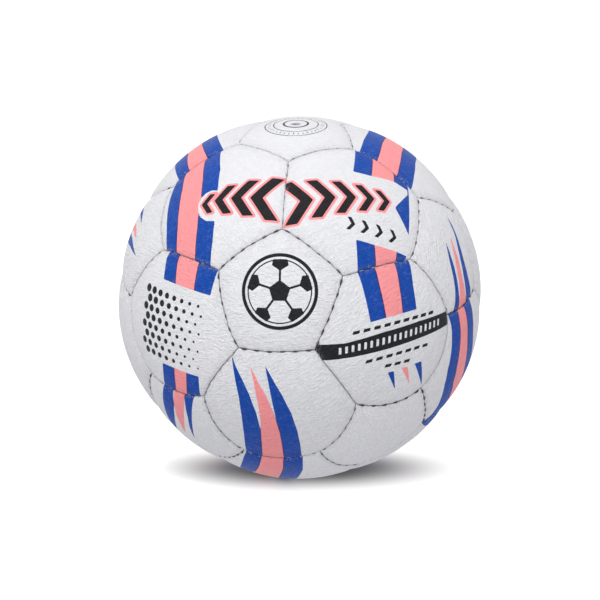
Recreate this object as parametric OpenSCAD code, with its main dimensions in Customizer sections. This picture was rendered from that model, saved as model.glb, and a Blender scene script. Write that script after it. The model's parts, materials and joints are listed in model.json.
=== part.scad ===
// Hand-stitched handball: twelve five-sided and twenty six-sided crowned
// panels, sewn edge to edge over cloth backing, around an inflated bladder
// with a rubber valve boot and a pull-out valve plug.
// Millimetres. +Z is up as the ball lies on a table, the origin is the centre
// of the ball, and -Y is the side that faces the viewer.

/* [Ball] */
// Outer diameter of the ball, over the crowns of the panels
ball_d = 175; // [172:0.5:178]
// Lean of the panel pattern's top five-sided panel from straight up, in degrees
pattern_lean = 18; // [0:1:40]
// Compass heading that this panel leans to, in degrees from +X
pattern_heading = -92; // [-180:1:180]
// Turn of the panel pattern about the middle of this panel, in degrees
pattern_turn = -5; // [-36:1:36]

/* [Panels] */
// How far a panel's crown stands above the middle of its seams
panel_crown = 0.9; // [0.6:0.1:1.2]
// Thickness of the synthetic leather skin
skin_t = 1.2; // [1:0.1:1.4]
// Thickness of skin and laminated cloth together, at a panel's crown
carcass_t = 3.3; // [3:0.1:3.8]
// Gap between neighbouring panels at a seam
seam_gap = 0.1; // [0.06:0.02:0.16]
// Depth of the groove along a seam
groove_depth = 1.1; // [0.9:0.1:1.2]
// How far a panel's corner stops short of the point where three panels meet
corner_cut = 0.5; // [0.4:0.1:0.8]
// Glue space between a skin and its cloth backing
glue_gap = 0.05; // [0.04:0.01:0.1]

/* [Stitching] */
// Thickness of the waxed thread in the seams
thread_d = 0.7; // [0.5:0.05:0.8]
// How far a seam's thread stops short of the corner where three seams meet
thread_end = 0.9; // [0.8:0.1:1.5]

/* [Bladder and valve] */
// Lean of the valve from straight up, in degrees; it lies a little off the
// middle of its panel
valve_lean = 14.2; // [14:0.1:18]
// Compass heading that the valve leans to, in degrees from +X
valve_heading = -95; // [-96:0.5:-90]
// Gap between the boot's flat face and the back of the leather over its axis
boot_gap = 0.2; // [0.2:0.05:0.4]
// Wall of the rubber bladder
bladder_t = 1; // [0.8:0.1:1.2]
// Hole in the leather over the valve
valve_hole_d = 4.6; // [4.6:0.1:5]
// Neck of the rubber boot, under that hole
boot_neck_d = 7; // [6.5:0.1:7.5]
// Boot body that hangs inside the bladder
boot_body_d = 10; // [9:0.5:12]
// Length of the boot below its flange
boot_length = 17; // [15:1:20]
// Flange that joins the boot to the bladder
boot_flange_d = 25; // [22:1:28]
// Bonded rubber patch around the boot, inside the bladder
patch_d = 40; // [36:1:44]
// Thickness of the patch
patch_t = 0.8; // [0.6:0.1:1]
// Diameter of the pull-out plug's stem
plug_d = 3.6; // [3.5:0.1:3.8]
// Diameter of the plug's head
plug_head_d = 4.2; // [4.1:0.1:4.3]
// How far the plug's head lies below the leather's surface
plug_sunk = 0.6; // [0.5:0.1:0.8]
// Depth of the seat that the boot holds the head in
plug_seat = 1.5; // [1.2:0.1:1.8]
// Running clearance around the plug, on the radius
plug_clear = 0.05; // [0.03:0.01:0.08]
// Hole through the plug for the needle of an air pump
needle_d = 2; // [1.9:0.1:2.1]

/* [Hidden] */

// The ball's solid geometry: panel centres on the corners (pentagons) and
// faces (hexagons) of an icosahedron that has one corner in the valve's panel.
R = ball_d / 2;
P_RING = atan(2);                           // polar angle of the upper ring
function sph(pol, az) = [sin(pol) * cos(az), sin(pol) * sin(az), cos(pol)];
function unit(v) = v / norm(v);
function dot(a, b) = a[0] * b[0] + a[1] * b[1] + a[2] * b[2];

// twelve icosahedron corners: the valve's panel, two rings of five and the far pole
CORNERS = concat([[0, 0, 1]],
    [for (k = [0:4]) sph(P_RING, 72 * k)],
    [for (k = [0:4]) sph(180 - P_RING, 36 + 72 * k)],
    [[0, 0, -1]]);
FACE_LIMIT = cos(P_RING) - 0.01;            // neighbouring corners are this close
function near(a, b) = dot(a, b) > FACE_LIMIT && dot(a, b) < 0.99;
// twenty faces, each a triple of neighbouring corners
FACES = [for (a = [0:9]) for (b = [a + 1:10]) for (c = [b + 1:11])
    if (near(CORNERS[a], CORNERS[b]) && near(CORNERS[b], CORNERS[c])
        && near(CORNERS[a], CORNERS[c])) [a, b, c]];
function face_dir(f) = unit(CORNERS[f[0]] + CORNERS[f[1]] + CORNERS[f[2]]);
HEXDIR = [for (f = FACES) face_dir(f)];

// a corner of the panel pattern: a third of the way from corner a to corner b
function knot(a, b) = unit(2 * CORNERS[a] + CORNERS[b]);

// neighbours of pentagon a in turning order about it
function turn_about(n, v) = let (
        t = abs(n[2]) > 0.9 ? [1, 0, 0] : [0, 0, 1],
        x = unit(t - n * dot(t, n)), y = cross(n, x))
    atan2(dot(v, y), dot(v, x));
function by_turn(list) = len(list) <= 1 ? list : let (
        pivot = list[0],
        low = [for (i = [1:1:len(list) - 1]) if (list[i][0] < pivot[0]) list[i]],
        high = [for (i = [1:1:len(list) - 1]) if (list[i][0] >= pivot[0]) list[i]])
    concat(by_turn(low), [pivot], by_turn(high));
// corner directions of pentagon k and hexagon k, in turning order
function penta_ring(k) = [for (q = by_turn([for (j = [0:11])
        if (j != k && near(CORNERS[k], CORNERS[j]))
            [turn_about(CORNERS[k], knot(k, j)), knot(k, j)]])) q[1]];
function hexa_ring(k) = let (f = FACES[k]) [for (q = by_turn([for (i = f)
        for (j = f) if (i != j)
            [turn_about(HEXDIR[k], knot(i, j)), knot(i, j)]])) q[1]];

// crown of a panel: a sphere of its own, a little smaller than the ball, that
// meets the ball at the panel's centre and drops by panel_crown at its seams
function seam_angle(dir, ring) = acos(dot(dir, unit(ring[0] + ring[1])));
function crown_shift(ang) = let (e = R - panel_crown)
    (R * R - e * e) / (2 * (R - e * cos(ang)));
PSHIFT = crown_shift(seam_angle(CORNERS[0], penta_ring(0)));
HSHIFT = crown_shift(seam_angle(HEXDIR[0], hexa_ring(0)));

// angle from a panel's centre to its corners
SPREAD_P = acos(dot(CORNERS[0], penta_ring(0)[0]));
SPREAD_H = acos(dot(HEXDIR[0], hexa_ring(0)[0]));

carcass_r = R - carcass_t;                  // inside of the cloth backing
groove_r = R - panel_crown - groove_depth;  // bottom of the seam groove
thread_r = groove_r + thread_d * 0.7071 + 0.06; // centre line of the thread
bladder_r = carcass_r - 0.05;               // outside of the bladder
bladder_in = bladder_r - bladder_t;

// turns the pattern the way it lies on the table
module placed() {
    rotate([0, 0, pattern_heading]) rotate([0, pattern_lean, 0])
        rotate([0, 0, pattern_turn]) children();
}
// turns a piece of the valve, drawn about +Z, to the valve's axis
module on_valve() {
    rotate([0, 0, valve_heading]) rotate([0, valve_lean, 0]) children();
}
// turns +Z to direction v
module aimed(v) {
    rotate([0, 0, atan2(v[1], v[0])]) rotate([0, acos(v[2] / norm(v)), 0])
        children();
}

// everything on the inner side of a seam, for a panel whose axis is +Z: one cone
// frustum that stands on the seam's plane. Its flat end is the cut edge of the
// panel, and its flank is that panel's side of the V-groove.
module seam_side(normal, gap) {
    aimed(normal) translate([0, 0, gap])
        cylinder(h = R, r1 = groove_r + gap, r2 = groove_r + gap + R, $fn = 96);
}

// flat-sided wedge from the centre of the ball out through a ring of corners,
// drawn in by gap on every side
module wedge(ring, gap) {
    n = len(ring);
    // moving every side in by gap moves the tip along the panel's axis
    tip = [0, 0, gap / unit(cross(ring[0], ring[1]))[2]];
    pts = concat([tip], [for (v = ring) tip + v * R * 1.3]);
    polyhedron(points = pts, faces = concat(
        [for (i = [0:n - 1]) [0, i + 1, (i + 1) % n + 1]],
        [[for (i = [0:n - 1]) n - i]]));
}

// dome of a panel, sunk by depth below the leather's surface; its poles are
// turned off to the side, away from the panel
module dome(shift, depth) {
    translate([0, 0, shift]) rotate([90, 0, 0])
        sphere(r = R - shift - depth, $fn = 96);
}
module core() {
    rotate([90, 0, 0]) sphere(r = carcass_r, $fn = 96);
}

// corners of a panel of n sides about +Z, the first of them in the XZ plane
function local_ring(n, spread) = [for (i = [0:n - 1]) sph(spread, 360 / n * i)];

// skin of a panel, drawn about +Z and then turned to its own place
module panel_skin(n, spread, shift) {
    ring = local_ring(n, spread);
    difference() {
        trimmed(ring, n) difference() {
            intersection() {
                dome(shift, 0);
                // takes the very tips off the corners, where three panels meet
                cylinder(h = 2 * R, r1 = 0,
                    r2 = 2 * R * tan(spread - corner_cut / R * 180 / PI),
                    $fn = 96);
            }
            core();
        }
        // pocket that the backing fills; the skin's edge is turned down round it
        intersection() {
            wedge(ring, seam_gap / 2 + skin_t);
            dome(shift, skin_t);
        }
    }
}
// the given solid, cut back at the first count seams of a ring of corners
module trimmed(ring, count) {
    if (count == 0) children();
    else intersection() {
        trimmed(ring, count - 1) children();
        seam_side(cross(ring[count - 1], ring[count % len(ring)]),
            seam_gap / 2);
    }
}

module panel_backing(n, spread, shift) {
    difference() {
        intersection() {
            wedge(local_ring(n, spread), seam_gap / 2 + skin_t + glue_gap);
            dome(shift, skin_t + glue_gap);
        }
        core();
    }
}

// turns a panel drawn about +Z so that its axis points along dir and its first
// corner lies towards corner
module seated(dir, corner) {
    lean = acos(dir[2] / norm(dir));
    head = atan2(dir[1], dir[0]);
    xdir = [cos(lean) * cos(head), cos(lean) * sin(head), -sin(lean)];
    ydir = [-sin(head), cos(head), 0];
    rotate([0, 0, head]) rotate([0, lean, 0])
        rotate([0, 0, atan2(dot(corner, ydir), dot(corner, xdir))]) children();
}

// thread lying in the groove between two corners of the pattern
module seam_thread(a, b) {
    axis = cross(a, b);
    span = acos(dot(a, b));
    short = thread_end / thread_r * 180 / PI;
    // turn the arc so that it starts at corner a
    lean = acos(unit(axis)[2]);
    head = atan2(axis[1], axis[0]);
    xdir = [cos(lean) * cos(head), cos(lean) * sin(head), -sin(lean)];
    ydir = [-sin(head), cos(head), 0];
    start = atan2(dot(a, ydir), dot(a, xdir));
    aimed(axis) rotate([0, 0, start + short])
        rotate_extrude(angle = span - 2 * short, $fn = 96)
            translate([thread_r, 0]) circle(d = thread_d, $fn = 24);
}

module pentagon_panel(k) {
    color("white") difference() {
        placed() seated(CORNERS[k], penta_ring(k)[0])
            panel_skin(5, SPREAD_P, PSHIFT);
        if (k == 0) on_valve() cylinder(h = R + 5, d = valve_hole_d, $fn = 64);
    }
}
module hexagon_panel(k) {
    color("white") placed()
        seated(HEXDIR[k], hexa_ring(k)[3]) panel_skin(6, SPREAD_H, HSHIFT);
}
module pentagon_backings() {
    color("gainsboro") difference() {
        placed() for (k = [0:11]) seated(CORNERS[k], penta_ring(k)[0])
            panel_backing(5, SPREAD_P, PSHIFT);
        on_valve() cylinder(h = R + 5, d = boot_neck_d + 0.2, $fn = 64);
    }
}
module hexagon_backings() {
    color("gainsboro") placed() for (k = [0:19])
        seated(HEXDIR[k], hexa_ring(k)[3]) panel_backing(6, SPREAD_H, HSHIFT);
}
module pentagon_seam_stitching() {
    color("dimgray") placed() for (k = [0:11]) {
        ring = penta_ring(k);
        for (i = [0:4]) seam_thread(ring[i], ring[(i + 1) % 5]);
    }
}
module hexagon_seam_stitching() {
    color("dimgray") placed()
        for (a = [0:10]) for (b = [a + 1:11]) if (near(CORNERS[a], CORNERS[b]))
            seam_thread(knot(a, b), knot(b, a));
}

// heights of the valve's pieces along its own axis, from the ball's centre
boot_top = R - skin_t - boot_gap;           // against the leather's back
seat_z = boot_top - plug_seat;              // floor of the seat for the head
head_top = R - plug_sunk;
flange_top = bladder_r;                     // the flange lies in the bladder wall
body_end = bladder_in - patch_t - boot_length;

// sphere shell of a cap, cut to a round patch of diameter d
module cap_shell(outer, inner, d) {
    intersection() {
        difference() {
            sphere(r = outer, $fn = 96);
            sphere(r = inner, $fn = 96);
        }
        cylinder(h = R + 5, d = d, $fn = 64);
    }
}

module bladder() {
    color("black") on_valve() difference() {
        sphere(r = bladder_r, $fn = 96);
        sphere(r = bladder_in, $fn = 96);
        cylinder(h = R + 5, d = boot_flange_d + 0.1, $fn = 64);
    }
}
module valve_patch() {
    color("black") on_valve() difference() {
        cap_shell(bladder_in - 0.03, bladder_in - 0.03 - patch_t, patch_d);
        cylinder(h = R + 5, d = boot_body_d + 0.1, $fn = 64);
    }
}
module valve_boot() {
    color("darkgray") on_valve() difference() {
        union() {
            // neck through the cloth, up to the back of the leather
            translate([0, 0, bladder_in + 0.3])
                cylinder(h = boot_top - bladder_in - 0.3, d = boot_neck_d,
                    $fn = 64);
            cap_shell(flange_top, bladder_in, boot_flange_d);
            translate([0, 0, body_end])
                cylinder(h = bladder_in - body_end + 0.3, d = boot_body_d,
                    $fn = 64);
        }
        // seat for the plug's head and sleeve for its stem
        translate([0, 0, seat_z])
            cylinder(h = 10, d = plug_head_d + 2 * plug_clear, $fn = 64);
        translate([0, 0, body_end - 1])
            cylinder(h = R, d = plug_d + 2 * plug_clear, $fn = 64);
    }
}
module valve_plug() {
    color("gray") on_valve() difference() {
        union() {
            translate([0, 0, body_end + 1])
                cylinder(h = head_top - 1 - body_end - 1, d = plug_d, $fn = 64);
            translate([0, 0, seat_z + 0.02])
                cylinder(h = head_top - seat_z - 0.02, d = plug_head_d,
                    $fn = 64);
        }
        translate([0, 0, body_end])
            cylinder(h = R, d = needle_d, $fn = 64);
    }
}

pentagon_panel(0);  // pentagon_panel_01
pentagon_panel(1);  // pentagon_panel_02
pentagon_panel(2);  // pentagon_panel_03
pentagon_panel(3);  // pentagon_panel_04
pentagon_panel(4);  // pentagon_panel_05
pentagon_panel(5);  // pentagon_panel_06
pentagon_panel(6);  // pentagon_panel_07
pentagon_panel(7);  // pentagon_panel_08
pentagon_panel(8);  // pentagon_panel_09
pentagon_panel(9);  // pentagon_panel_10
pentagon_panel(10);  // pentagon_panel_11
pentagon_panel(11);  // pentagon_panel_12
hexagon_panel(0);  // hexagon_panel_01
hexagon_panel(1);  // hexagon_panel_02
hexagon_panel(2);  // hexagon_panel_03
hexagon_panel(3);  // hexagon_panel_04
hexagon_panel(4);  // hexagon_panel_05
hexagon_panel(5);  // hexagon_panel_06
hexagon_panel(6);  // hexagon_panel_07
hexagon_panel(7);  // hexagon_panel_08
hexagon_panel(8);  // hexagon_panel_09
hexagon_panel(9);  // hexagon_panel_10
hexagon_panel(10);  // hexagon_panel_11
hexagon_panel(11);  // hexagon_panel_12
hexagon_panel(12);  // hexagon_panel_13
hexagon_panel(13);  // hexagon_panel_14
hexagon_panel(14);  // hexagon_panel_15
hexagon_panel(15);  // hexagon_panel_16
hexagon_panel(16);  // hexagon_panel_17
hexagon_panel(17);  // hexagon_panel_18
hexagon_panel(18);  // hexagon_panel_19
hexagon_panel(19);  // hexagon_panel_20
pentagon_backings();
hexagon_backings();
pentagon_seam_stitching();
hexagon_seam_stitching();
bladder();
valve_boot();
valve_patch();
valve_plug();
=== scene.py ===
import json
import math

import bpy
import numpy as np
from mathutils import Matrix, Vector

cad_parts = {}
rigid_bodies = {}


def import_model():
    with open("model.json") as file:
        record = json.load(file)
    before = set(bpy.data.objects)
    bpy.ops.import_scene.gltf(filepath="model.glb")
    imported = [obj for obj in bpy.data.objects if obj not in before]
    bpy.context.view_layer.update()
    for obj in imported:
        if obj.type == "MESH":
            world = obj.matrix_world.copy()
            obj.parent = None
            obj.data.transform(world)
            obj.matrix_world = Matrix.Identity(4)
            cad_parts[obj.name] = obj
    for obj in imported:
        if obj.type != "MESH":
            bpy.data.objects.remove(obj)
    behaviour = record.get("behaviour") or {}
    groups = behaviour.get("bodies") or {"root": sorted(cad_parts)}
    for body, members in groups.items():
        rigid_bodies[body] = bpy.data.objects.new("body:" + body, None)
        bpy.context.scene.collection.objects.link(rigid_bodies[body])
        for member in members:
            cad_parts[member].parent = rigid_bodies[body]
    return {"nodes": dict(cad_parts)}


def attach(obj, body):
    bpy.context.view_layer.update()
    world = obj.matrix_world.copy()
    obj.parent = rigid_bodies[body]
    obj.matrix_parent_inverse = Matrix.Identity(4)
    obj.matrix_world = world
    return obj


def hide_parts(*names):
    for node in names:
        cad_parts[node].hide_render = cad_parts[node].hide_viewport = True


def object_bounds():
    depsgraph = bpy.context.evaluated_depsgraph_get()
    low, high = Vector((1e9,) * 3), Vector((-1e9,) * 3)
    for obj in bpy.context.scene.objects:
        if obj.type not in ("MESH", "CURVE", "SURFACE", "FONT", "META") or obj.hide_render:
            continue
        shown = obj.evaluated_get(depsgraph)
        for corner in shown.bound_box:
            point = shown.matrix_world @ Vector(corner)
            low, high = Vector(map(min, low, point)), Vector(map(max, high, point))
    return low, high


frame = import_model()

CAD_BOX = [[float(v) for v in corner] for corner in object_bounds()]
MM = 0.001

# ---------------------------------------------------------------- the pattern
# The ball's own measures, in millimetres, as the frame has them.
R = 87.5                        # radius over the panel crowns
CROWN = 0.9                     # drop of a panel from its crown to its seams
SKIN = 1.2                      # leather
CARCASS = 84.2                  # inside of the cloth backing
STITCHES = 6                    # stitches along one seam
SEAM = 35.3                     # length of one seam
PITCH = SEAM / STITCHES


def unit(v):
    v = np.asarray(v, float)
    return v / np.linalg.norm(v, axis=-1, keepdims=True)


def rot(axis, deg):
    return np.array(Matrix.Rotation(math.radians(deg), 3, axis))


TURN = rot("Z", -92.0) @ rot("Y", 18.0) @ rot("Z", -5.0)
RING = math.atan(2.0)


def sph(pol, az_deg):
    az = math.radians(az_deg)
    return np.array([math.sin(pol) * math.cos(az), math.sin(pol) * math.sin(az), math.cos(pol)])


CORNERS = ([sph(0, 0)] + [sph(RING, 72 * k) for k in range(5)]
           + [sph(math.pi - RING, 36 + 72 * k) for k in range(5)] + [sph(math.pi, 0)])


def near(a, b):
    return math.cos(RING) - 0.01 < float(CORNERS[a] @ CORNERS[b]) < 0.99


FACES = [(a, b, c) for a in range(10) for b in range(a + 1, 11) for c in range(b + 1, 12)
         if near(a, b) and near(b, c) and near(a, c)]
NEIGHBOURS = [[j for j in range(12) if j != k and near(k, j)] for k in range(12)]
CORNERS = [TURN @ c for c in CORNERS]
VALVE = rot("Z", -95.0) @ rot("Y", 14.2) @ np.array([0.0, 0.0, 1.0])

# A ball sewn by hand isn't regular: how far, in mm right and up, each place
# where three panels meet lies from where the regular pattern has it.
STRAY = {
    (0, 1): (-1.2, 3.4), (1, 0): (-0.3, 0.1), (1, 2): (0.1, 0.5), (1, 5): (-0.1, 0.8), (1, 6): (-0.4, -0.1),
    (1, 10): (-0.4, -0.8), (2, 1): (1.0, 0.6), (2, 0): (2.5, 0.0), (0, 2): (-0.4, 1.7), (2, 6): (0.4, 0.1),
    (2, 3): (2.0, 0.8), (2, 7): (-1.2, -1.4), (6, 1): (0.3, -0.3), (6, 2): (1.2, -1.7), (6, 10): (0.0, 0.4),
    (10, 1): (-0.5, 0.1), (10, 5): (-1.2, -0.5), (5, 10): (-2.6, 1.8), (5, 1): (-1.1, 0.2), (5, 0): (-3.6, 0.6),
    (10, 6): (-1.8, -2.5), (0, 5): (-0.9, 2.6), (0, 4): (-3.0, 0.0), (6, 11): (1.5, -3.5)}
# How much of the thread shows along a seam, 0 to 1; the others get a chance value.
SHOWN = {
    ((1, 6), (6, 1)): 0.1, ((1, 10), (10, 1)): 0.35, ((1, 5), (5, 1)): 0.4, ((1, 2), (2, 1)): 0.3,
    ((0, 1), (1, 0)): 0.4, ((2, 6), (6, 2)): 0.0, ((6, 10), (10, 6)): 0.3, ((1, 0), (1, 5)): 0.7,
    ((1, 0), (1, 2)): 0.6, ((1, 2), (1, 6)): 0.9, ((1, 6), (1, 10)): 0.8, ((1, 5), (1, 10)): 0.65,
    ((6, 1), (6, 2)): 0.9, ((6, 2), (6, 7)): 1.0, ((6, 1), (6, 10)): 0.5, ((2, 0), (2, 1)): 0.6,
    ((2, 1), (2, 6)): 0.4, ((2, 0), (2, 3)): 0.55, ((5, 0), (5, 1)): 0.1, ((5, 1), (5, 10)): 0.35,
    ((0, 1), (0, 5)): 0.18, ((0, 1), (0, 2)): 0.3, ((0, 2), (0, 3)): 0.5, ((10, 1), (10, 6)): 0.45,
    ((5, 10), (10, 5)): 0.0, ((10, 1), (10, 5)): 0.3, ((0, 2), (2, 0)): 0.0, ((0, 5), (5, 0)): 0.05,
    ((0, 4), (0, 5)): 0.25, ((2, 3), (2, 7)): 0.0, ((2, 6), (2, 7)): 0.6, ((6, 7), (6, 11)): 0.0,
    ((10, 5), (10, 9)): 0.75, ((6, 10), (6, 11)): 0.5, ((10, 6), (10, 11)): 0.7, ((4, 5), (5, 4)): 0.3}
# How far, in mm, the middle of a seam lies off the straight line between its ends.
BOWS = {
    ((1, 0), (1, 5)): -0.8, ((1, 0), (1, 2)): 0.8, ((1, 2), (1, 6)): 0.3, ((1, 6), (1, 10)): 0.7,
    ((1, 5), (1, 10)): -1.4, ((1, 5), (5, 1)): -0.6, ((1, 10), (10, 1)): -0.9, ((2, 6), (6, 2)): 4.0,
    ((6, 10), (10, 6)): 3.0, ((10, 1), (10, 6)): -2.8, ((6, 1), (6, 2)): -3.2, ((6, 1), (6, 10)): 2.4,
    ((6, 2), (6, 7)): 0.4, ((6, 10), (6, 11)): -2.6, ((2, 0), (2, 1)): 0.9, ((2, 1), (2, 6)): 1.6,
    ((2, 6), (2, 7)): -1.2, ((2, 0), (2, 3)): -0.3, ((5, 0), (5, 1)): -1.8, ((5, 1), (5, 10)): -1.0,
    ((0, 1), (0, 5)): 0.2, ((0, 1), (0, 2)): 1.1, ((0, 2), (0, 3)): 0.1, ((5, 10), (10, 5)): -3.0,
    ((0, 2), (2, 0)): 0.8, ((0, 5), (5, 0)): -0.3, ((10, 1), (10, 5)): 2.2, ((1, 2), (2, 1)): 0.2,
    ((0, 1), (1, 0)): 0.3, ((1, 6), (6, 1)): 0.3, ((0, 4), (0, 5)): 0.0, ((10, 5), (10, 9)): -2.0,
    ((10, 6), (10, 11)): 1.5}
# How dark and how deep a seam looks, 0 to 1: partly grime, partly painted shade, high for the seams that lie in shade
# and low for those open to the light from above; the others get a chance value.
GRIME_AND_SHADE = {
    ((0, 1), (0, 5)): 0.12, ((0, 1), (0, 2)): 0.12, ((0, 2), (0, 3)): 0.15, ((0, 4), (0, 5)): 0.1,
    ((0, 1), (1, 0)): 0.3, ((2, 6), (6, 2)): 0.1, ((2, 1), (2, 6)): 0.25, ((2, 0), (2, 1)): 0.15,
    ((2, 3), (2, 7)): 0.1, ((2, 0), (2, 3)): 0.15, ((5, 10), (10, 5)): 0.1, ((1, 0), (1, 5)): 0.6,
    ((1, 0), (1, 2)): 0.5, ((1, 5), (1, 10)): 0.55, ((5, 1), (5, 10)): 0.2, ((5, 0), (5, 1)): 0.1,
    ((0, 5), (5, 0)): 0.12, ((5, 0), (5, 4)): 0.2, ((10, 1), (10, 6)): 0.5, ((6, 10), (10, 6)): 0.7,
    ((6, 1), (6, 10)): 0.6, ((6, 10), (6, 11)): 0.4, ((0, 2), (2, 0)): 0.1, ((6, 7), (6, 11)): 0.1,
    ((10, 5), (10, 9)): 0.7, ((1, 5), (5, 1)): 1.0, ((1, 2), (2, 1)): 1.0, ((2, 6), (2, 7)): 1.0}
# How strongly the sheet's wrinkles show on a panel.
RIPPLE = {"hexagon_panel_08": 1.3, "pentagon_panel_02": 1.2, "pentagon_panel_03": 1.2, "hexagon_panel_06": 1.15,
          "pentagon_panel_07": 0.35, "hexagon_panel_01": 0.8, "hexagon_panel_02": 0.8, "hexagon_panel_17": 0.5}


def axes_of(n):
    x = unit(np.cross([0, 0, 1.0], n))
    return x, np.cross(n, x)


def knot(a, b):
    """The place where three panels meet, a third of the way from corner a to corner b."""
    n = unit(2 * CORNERS[a] + CORNERS[b])
    right, up = STRAY.get((a, b), (0.0, 0.0))
    x, y = axes_of(n)
    return unit(n + (right * x + up * y) / R)


def turning(n, items):
    t = np.array([1.0, 0, 0]) if abs(n[2]) > 0.9 else np.array([0, 0, 1.0])
    x = unit(t - n * (t @ n))
    y = np.cross(n, x)
    return sorted(items, key=lambda i: math.atan2(i[1] @ y, i[1] @ x))


PANELS = []                     # (name, kind, direction, [(knot key, knot direction)])
for k in range(12):
    PANELS.append(("pentagon_panel_%02d" % (k + 1), "P", CORNERS[k],
                   turning(CORNERS[k], [((k, j), knot(k, j)) for j in NEIGHBOURS[k]])))
for k, face in enumerate(FACES):
    mid = unit(sum(CORNERS[i] for i in face))
    PANELS.append(("hexagon_panel_%02d" % (k + 1), "H", mid,
                   turning(mid, [((i, j), knot(i, j)) for i in face for j in face if i != j])))
_third = [[unit(2 * CORNERS[a] + CORNERS[b]) for a, b in pair] for pair in (((0, 1), (0, 2)), ((0, 1), (1, 0)))]
ALPHA = {"P": math.acos(float(CORNERS[0] @ unit(_third[0][0] + _third[0][1]))),
         "H": math.acos(float(unit(CORNERS[0] + CORNERS[1] + CORNERS[2]) @ unit(_third[1][0] + _third[1][1])))}
SHIFT = {kind: (R * R - (R - CROWN) ** 2) / (2 * (R - (R - CROWN) * math.cos(a)))
         for kind, a in ALPHA.items()}

# ---------------------------------------------------------------- the seams
rng = np.random.default_rng(11)
SEAMS = {}
for name, kind, n, ring in PANELS:
    for i in range(len(ring)):
        (ka, va), (kb, vb) = ring[i], ring[(i + 1) % len(ring)]
        key = tuple(sorted((ka, kb)))
        if key not in SEAMS:
            a, b = (va, vb) if ka < kb else (vb, va)
            side = unit(np.cross(a, b))
            SEAMS[key] = {
                "a": a, "b": b, "side": side, "kind": kind,
                "bow": BOWS.get(key, float(rng.uniform(-1.6, 1.6))),
                "ph": rng.random(8), "amp": rng.uniform(0.6, 1.3, STITCHES + 1),
                "lean": float(rng.uniform(0.6, 1.0))}
            chance = float(rng.uniform(0.5, 0.95) if kind == "P" else rng.uniform(0.1, 0.6))
            SEAMS[key]["show"] = SHOWN.get(key, chance)
            SEAMS[key]["lean"] *= 0.35 + 0.65 * SEAMS[key]["show"]
            SEAMS[key]["grime"] = GRIME_AND_SHADE.get(key, 0.8 + 0.2 * float(SEAMS[key]["ph"][7]))
AT_KNOT = {}
for key in SEAMS:
    for end in key:
        AT_KNOT.setdefault(end, []).append(SEAMS[key]["grime"])
AT_KNOT = {end: sum(values) / len(values) for end, values in AT_KNOT.items()}


def smooth(x, lo, hi):
    x = np.clip((x - lo) / (hi - lo), 0, 1)
    return x * x * (3 - 2 * x)


def seam_line(s, t):
    """Directions along a seam, without the small jog at each stitch, and how far from its ends."""
    ang = math.acos(float(s["a"] @ s["b"]))
    base = (np.sin((1 - t) * ang)[:, None] * s["a"] + np.sin(t * ang)[:, None] * s["b"]) / math.sin(ang)
    win = smooth(np.minimum(t, 1 - t), 0.0, 0.09)
    p = s["ph"]
    off = s["bow"] * (1 - (2 * t - 1) ** 2) + win * (
        0.13 * np.sin(2 * math.pi * (1.1 * t + p[0])) + 0.07 * np.sin(2 * math.pi * (2.7 * t + p[1])))
    return unit(base + (off / R)[:, None] * s["side"]), win


def jog(s, t, win):
    """Sideways step of the seam at each stitch, in mm."""
    f = (t * STITCHES) % 1.0
    v = np.where(f < 0.84, f / 0.84 * 2 - 1, 1 - 2 * (f - 0.84) / 0.16)
    return 0.2 * s["lean"] * v * win


def pull(s, t):
    """1 where a stitch draws the edges in, falling to 0 between stitches."""
    x = t * STITCHES
    k = np.clip(np.floor(x).astype(int), 0, STITCHES - 1)
    d = (x - k - 0.5) * PITCH
    return np.exp(-(d / 1.05) ** 2) * s["amp"][k] * (0.25 + 0.75 * s["show"])


def grime(key, t):
    """How dark, with grime and painted shade, and how deep the seam is along its length, the same for both panels at
    it.
    """
    g = SEAMS[key]["grime"]
    near_a, near_b = np.exp(-(t * SEAM / 1.8) ** 2), np.exp(-((1 - t) * SEAM / 1.8) ** 2)
    return g + (AT_KNOT[key[0]] - g) * near_a + (AT_KNOT[key[1]] - g) * near_b


# ---------------------------------------------------------------- the prints
# Outlines in millimetres on each panel, from its centre: x to the right and y
# up, as seen from outside. Panels opposite these ones carry the same prints.
def band(left, right):
    return list(left) + list(reversed(right))


def flames(*outlines):
    return [list(o) for o in outlines]


P = {}
# left band
_e = [[(-45, -11.4), (45, -15.0)], [(-45, -4.2), (8.0, -5.4), (26.7, -7.5), (45, -8.5)],
      [(-45, 2.4), (45, 3.6)], [(-45, 9.8), (45, 12.2)]]
P["hexagon_panel_05"] = {"blue": [band(_e[0], _e[1]), band(_e[2], _e[3])], "coral": [band(_e[1], _e[2])]}
_e = [[(-37, 20), (-34.1, 7.4), (-30.6, -3.8), (-26.2, -15.8), (-24.0, -24), (-22.6, -37)],
      [(-35, 26), (-30.6, 16.0), (-25.0, 5.1), (-21.3, -6), (-18.3, -16.3), (-16.7, -25), (-15.4, -38)],
      [(-27, 34), (-21.6, 24.6), (-13.2, 9.5), (-9.5, 0.2), (-5.6, -16.5), (-4.2, -27.1), (-3.2, -40)],
      [(-19.5, 38), (-14.4, 28.6), (-6.7, 16.5), (-2.6, 6), (0.6, -5), (2.9, -14), (4.3, -22), (5.6, -42)]]
P["hexagon_panel_02"] = {"blue": [band(_e[0], _e[1]), band(_e[2], _e[3])], "coral": [band(_e[1], _e[2])]}
_e = [[(-5.2, 40), (-7.4, 31), (-6.0, 21.1)], [(1.0, 40), (0.4, 30), (2.0, 19.7)],
      [(13.6, 40), (13.3, 28), (13.4, 17.5)], [(25.2, 36), (23.7, 27), (22.1, 15.9)]]
_f = [[(-8.8, -18.5), (-11.2, -25.3), (-14.1, -31.5), (-18, -42)],
      [(-1.3, -19.9), (-4.0, -28.4), (-6.6, -34), (-10, -44)],
      [(6.2, -21.6), (4.0, -28), (1.3, -34), (-2.5, -45)],
      [(12.6, -23.0), (11.1, -28.5), (9.0, -35), (6, -46)]]
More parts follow.
